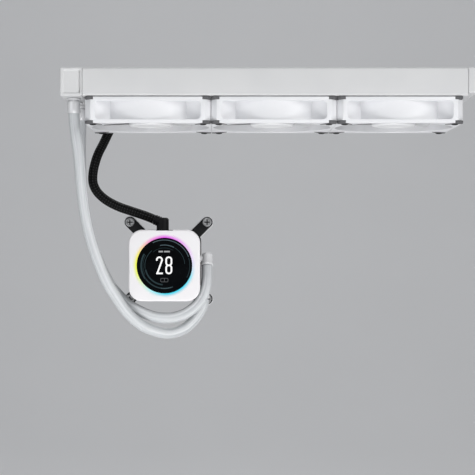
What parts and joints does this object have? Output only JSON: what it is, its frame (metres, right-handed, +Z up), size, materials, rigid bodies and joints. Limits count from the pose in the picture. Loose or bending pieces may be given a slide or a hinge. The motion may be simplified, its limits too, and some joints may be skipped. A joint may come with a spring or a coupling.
{
  "type": "liquid cooling radiator",
  "caption": "Sealed liquid cooling loop: long flat radiator with fans beneath it, hoses looping down to a square pump head with a round screen, and a braided cable.",
  "frame": {"origin": "centre of the radiator's top face, where it meets the case's top rail", "axes": "+X along the radiator, away from the tank that the hoses leave; -Y is the front, the side the screen faces; +Z up"},
  "size_m": [0.3975, 0.1319, 0.2613],
  "materials": {
    "white_metal": "white satin powder coat",
    "white_plastic": "satin moulded plastic",
    "hose": "satin sleeved hose",
    "nickel": "nickel plated",
    "copper": "copper, plain or as wound wire",
    "grey_rubber": "matt",
    "black_plastic": "satin",
    "black_metal": "black satin coat",
    "black_glass": "polished, dark",
    "diffuser": "translucent, lit from behind",
    "circuit_board": "solder mask",
    "braid": "braided sleeve"
  },
  "bodies": {
    "root": {"cable_gland": "black_plastic", "cable_hank": "braid", "cable_plug": "black_plastic", "cable_tie": "black_plastic", "cold_plate": "copper", "control_board": "circuit_board", "fan_1_frame": "white_plastic", "fan_1_front_left_pad": "grey_rubber", "fan_1_front_right_pad": "grey_rubber", "fan_1_rear_left_pad": "grey_rubber", "fan_1_rear_right_pad": "grey_rubber", "fan_1_stator": "copper", "fan_2_frame": "white_plastic", "fan_2_front_left_pad": "grey_rubber", "fan_2_front_right_pad": "grey_rubber", "fan_2_rear_left_pad": "grey_rubber", "fan_2_rear_right_pad": "grey_rubber", "fan_2_stator": "copper", "fan_3_frame": "white_plastic", "fan_3_front_left_pad": "grey_rubber", "fan_3_front_right_pad": "grey_rubber", "fan_3_rear_left_pad": "grey_rubber", "fan_3_rear_right_pad": "grey_rubber", "fan_3_stator": "copper", "far_end_tank": "white_metal", "fill_plug": "black_plastic", "front_cap": "white_plastic", "front_hose": "hose", "front_hose_collar": "nickel", "front_port_fitting": "nickel", "front_side_plate": "white_metal", "hose_end_tank": "white_metal", "light_ring": "diffuser", "mounting_bracket": "black_metal", "plate_seal": "grey_rubber", "pump_cable": "braid", "pump_housing": "black_plastic", "pump_stator": "copper", "radiator_core": "white_metal", "rear_hose": "hose", "rear_hose_collar": "nickel", "rear_port_fitting": "nickel", "rear_side_plate": "white_metal", "screen_glass": "black_glass", "screen_panel": "black_plastic"},
    "fan_1_rotor": {"fan_1_rotor": "white_plastic"},
    "fan_2_rotor": {"fan_2_rotor": "white_plastic"},
    "fan_3_rotor": {"fan_3_rotor": "white_plastic"},
    "pump_impeller": {"pump_impeller": "black_plastic"},
    "upper_left_thumb_screw": {"upper_left_thumb_screw": "nickel"},
    "upper_right_thumb_screw": {"upper_right_thumb_screw": "nickel"},
    "lower_left_thumb_screw": {"lower_left_thumb_screw": "nickel"},
    "lower_right_thumb_screw": {"lower_right_thumb_screw": "nickel"},
    "upper_elbow": {"upper_elbow": "white_plastic"},
    "lower_elbow": {"lower_elbow": "white_plastic"}
  },
  "joints": [
    {"name": "fan_1_spin", "type": "hinge", "parent": "root", "child": "fan_1_rotor", "pos_m": [-0.1158, 0, -0.0403], "axis": [0, 0, 1], "continuous": true},
    {"name": "fan_2_spin", "type": "hinge", "parent": "root", "child": "fan_2_rotor", "pos_m": [0.0042, 0, -0.0403], "axis": [0, 0, 1], "continuous": true},
    {"name": "fan_3_spin", "type": "hinge", "parent": "root", "child": "fan_3_rotor", "pos_m": [0.1242, 0, -0.0403], "axis": [0, 0, 1], "continuous": true},
    {"name": "impeller_spin", "type": "hinge", "parent": "root", "child": "pump_impeller", "pos_m": [-0.1023, 0.03, -0.1887], "axis": [0, 1, 0], "continuous": true},
    {"name": "upper_left_screw_turn", "type": "hinge", "parent": "root", "child": "upper_left_thumb_screw", "pos_m": [-0.1387, 0.05, -0.1449], "axis": [0, 1, 0], "continuous": true},
    {"name": "upper_right_screw_turn", "type": "hinge", "parent": "root", "child": "upper_right_thumb_screw", "pos_m": [-0.0603, 0.05, -0.1449], "axis": [0, 1, 0], "continuous": true},
    {"name": "lower_left_screw_turn", "type": "hinge", "parent": "root", "child": "lower_left_thumb_screw", "pos_m": [-0.1387, 0.05, -0.2229], "axis": [0, 1, 0], "continuous": true},
    {"name": "lower_right_screw_turn", "type": "hinge", "parent": "root", "child": "lower_right_thumb_screw", "pos_m": [-0.0603, 0.05, -0.2229], "axis": [0, 1, 0], "continuous": true},
    {"name": "upper_elbow_swivel", "type": "hinge", "parent": "root", "child": "upper_elbow", "pos_m": [-0.0603, 0.0325, -0.1822], "axis": [1, 0, 0], "range_deg": [-20, 0], "deforming": ["rear_hose"]},
    {"name": "lower_elbow_swivel", "type": "hinge", "parent": "root", "child": "lower_elbow", "pos_m": [-0.0637, 0.0325, -0.2145], "axis": [1, 0, 0], "range_deg": [-6, 0], "deforming": ["front_hose"]}
  ]
}
